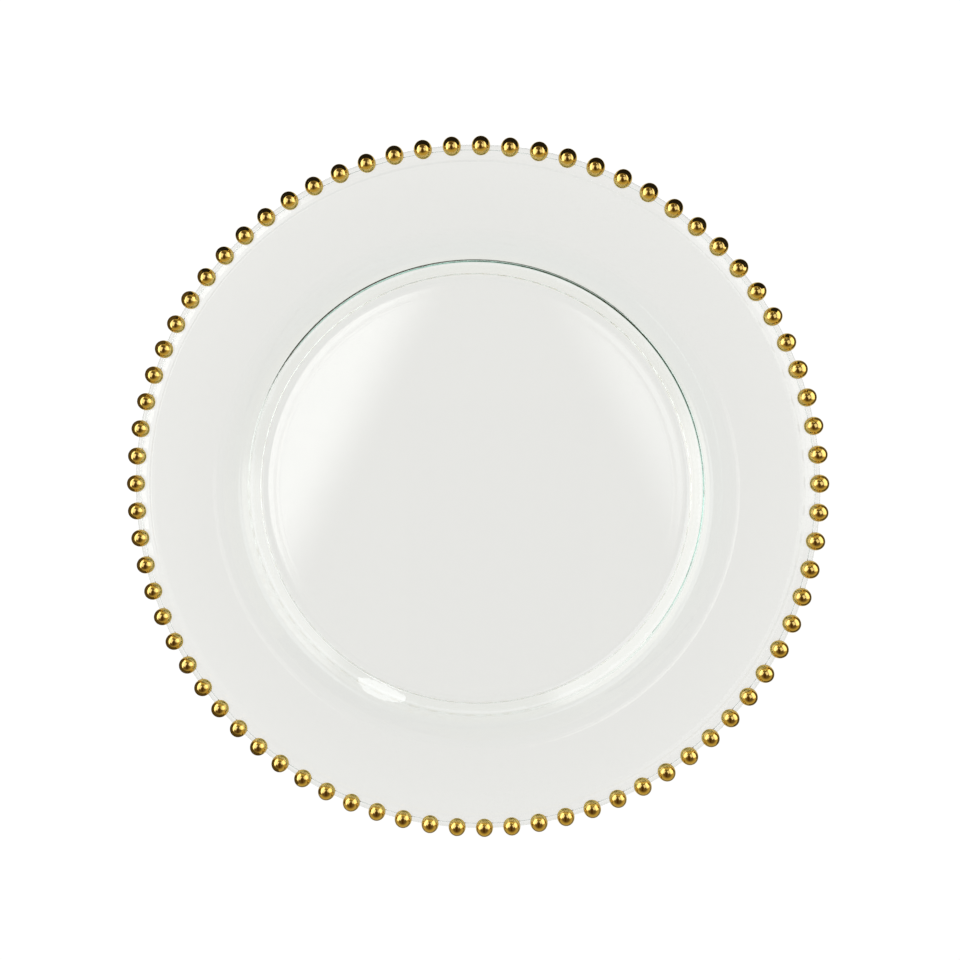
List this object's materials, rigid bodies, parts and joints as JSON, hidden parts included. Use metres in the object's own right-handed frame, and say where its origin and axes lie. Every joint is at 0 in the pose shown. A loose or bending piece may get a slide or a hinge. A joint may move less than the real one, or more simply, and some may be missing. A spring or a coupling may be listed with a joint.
{
  "type": "charger plate",
  "caption": "Round clear pressed-glass charger plate with a flat well, a wide sloping rim and a border of mirror-bright gold beads strung on a thin glass ring.",
  "frame": {"origin": "centre of the foot ring, on the surface that the plate stands on", "axes": "+Z is the plate's axis, up out of the well; the beads start half a pitch from +X"},
  "size_m": [0.3298, 0.3298, 0.0311],
  "materials": {
    "clear_glass": "clear pressed glass with a faint green edge, fire-polished",
    "gold_coat": "bright fired gold, mirror-polished"
  },
  "bodies": {
    "root": {"glass_plate": "clear_glass", "gold_coats_01": "gold_coat", "gold_coats_02": "gold_coat", "gold_coats_03": "gold_coat", "gold_coats_04": "gold_coat", "gold_coats_05": "gold_coat", "gold_coats_06": "gold_coat", "gold_coats_07": "gold_coat", "gold_coats_08": "gold_coat", "gold_coats_09": "gold_coat", "gold_coats_10": "gold_coat", "gold_coats_11": "gold_coat", "gold_coats_12": "gold_coat", "gold_coats_13": "gold_coat", "gold_coats_14": "gold_coat", "gold_coats_15": "gold_coat", "gold_coats_16": "gold_coat", "gold_coats_17": "gold_coat", "gold_coats_18": "gold_coat", "gold_coats_19": "gold_coat"}
  },
  "joints": []
}
